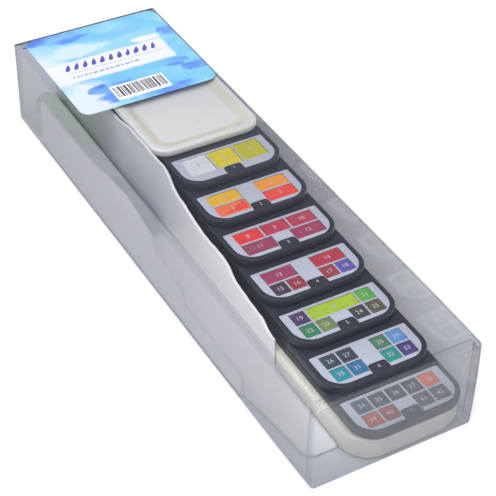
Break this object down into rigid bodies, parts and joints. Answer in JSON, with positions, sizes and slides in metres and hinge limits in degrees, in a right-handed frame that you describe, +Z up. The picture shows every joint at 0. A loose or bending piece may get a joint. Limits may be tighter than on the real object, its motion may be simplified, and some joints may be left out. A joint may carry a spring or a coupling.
{
  "type": "watercolor pan set",
  "caption": "Watercolour pan set: a sliding stair of black paint trays with colour cards, white mixing dish and water brush, in a clear tuck-end box with a blank wash label.",
  "frame": {"origin": "on the standing surface, under the middle of the closed box", "axes": "+X across the box to the right, +Y along its length towards the labelled end, +Z up"},
  "size_m": [0.0754, 0.28, 0.0434],
  "materials": {
    "clear_sheet": "clear, very glossy",
    "label_print": "printed paper under gloss film",
    "white_liner": "soft satin sheet",
    "white_card": "matt card",
    "white_plastic": "satin gloss",
    "tray_plastic": "satin, slate black",
    "card_print": "printed card, gloss",
    "paint_1": "dry paint cake",
    "paint_2": "dry paint cake",
    "paint_3": "dry paint cake",
    "paint_4": "dry paint cake",
    "paint_5": "dry paint cake",
    "paint_6": "dry paint cake",
    "paint_7": "dry paint cake",
    "pin_plastic": "moulded acetal",
    "green_cap": "translucent green",
    "clear_barrel": "clear, squeezable",
    "grip_plastic": "satin",
    "nozzle_plastic": "satin",
    "bristle": "nylon tuft"
  },
  "bodies": {
    "box_and_base": {"box_sleeve": "clear_sheet", "box_label": "label_print", "liner": "white_liner", "stair_support": "white_card", "base_dish": "white_plastic", "tray_7": "tray_plastic", "color_card_7": "card_print", "paint_pans_7": "paint_7"},
    "tray_6_slider": {"tray_6": "tray_plastic", "color_card_6": "card_print", "paint_pans_6": "paint_6", "tray_6_pins": "pin_plastic"},
    "tray_5_slider": {"tray_5": "tray_plastic", "color_card_5": "card_print", "paint_pans_5": "paint_5", "tray_5_pins": "pin_plastic"},
    "tray_4_slider": {"tray_4": "tray_plastic", "color_card_4": "card_print", "paint_pans_4": "paint_4", "tray_4_pins": "pin_plastic"},
    "tray_3_slider": {"tray_3": "tray_plastic", "color_card_3": "card_print", "paint_pans_3": "paint_3", "tray_3_pins": "pin_plastic"},
    "tray_2_slider": {"tray_2": "tray_plastic", "color_card_2": "card_print", "paint_pans_2": "paint_2", "tray_2_pins": "pin_plastic"},
    "tray_1_slider": {"tray_1": "tray_plastic", "color_card_1": "card_print", "paint_pans_1": "paint_1", "tray_1_pins": "pin_plastic"},
    "mixing_dish_slider": {"mixing_dish": "white_plastic", "mixing_dish_pins": "pin_plastic"},
    "near_flap": {"near_end_flap": "clear_sheet"},
    "far_flap": {"far_end_flap": "clear_sheet"},
    "brush_cap_body": {"brush_cap": "green_cap"},
    "water_brush": {"brush_grip": "grip_plastic", "brush_barrel": "clear_barrel", "brush_nozzle": "nozzle_plastic", "brush_bristles": "bristle"}
  },
  "joints": [
    {"name": "tray_6_slide", "type": "slide", "parent": "box_and_base", "child": "tray_6_slider", "axis": [0, 1, 0], "range_m": [-0.0238, 0]},
    {"name": "tray_5_slide", "type": "slide", "parent": "tray_6_slider", "child": "tray_5_slider", "axis": [0, 1, 0], "range_m": [-0.0238, 0]},
    {"name": "tray_4_slide", "type": "slide", "parent": "tray_5_slider", "child": "tray_4_slider", "axis": [0, 1, 0], "range_m": [-0.0238, 0]},
    {"name": "tray_3_slide", "type": "slide", "parent": "tray_4_slider", "child": "tray_3_slider", "axis": [0, 1, 0], "range_m": [-0.0238, 0]},
    {"name": "tray_2_slide", "type": "slide", "parent": "tray_3_slider", "child": "tray_2_slider", "axis": [0, 1, 0], "range_m": [-0.0238, 0]},
    {"name": "tray_1_slide", "type": "slide", "parent": "tray_2_slider", "child": "tray_1_slider", "axis": [0, 1, 0], "range_m": [-0.0238, 0]},
    {"name": "mixing_dish_slide", "type": "slide", "parent": "tray_1_slider", "child": "mixing_dish_slider", "axis": [0, 1, 0], "range_m": [-0.0238, 0]},
    {"name": "near_flap_hinge", "type": "hinge", "parent": "box_and_base", "child": "near_flap", "pos_m": [0, -0.14, 0], "axis": [1, 0, 0], "range_deg": [0, 90]},
    {"name": "far_flap_hinge", "type": "hinge", "parent": "box_and_base", "child": "far_flap", "pos_m": [0, 0.14, 0], "axis": [-1, 0, 0], "range_deg": [0, 90]},
    {"name": "brush_along_channel", "type": "slide", "parent": "box_and_base", "child": "brush_cap_body", "axis": [0, 1, 0], "range_m": [-0.11, 0]},
    {"name": "brush_out_of_cap", "type": "slide", "parent": "brush_cap_body", "child": "water_brush", "axis": [0, 1, 0], "range_m": [-0.042, 0]}
  ]
}
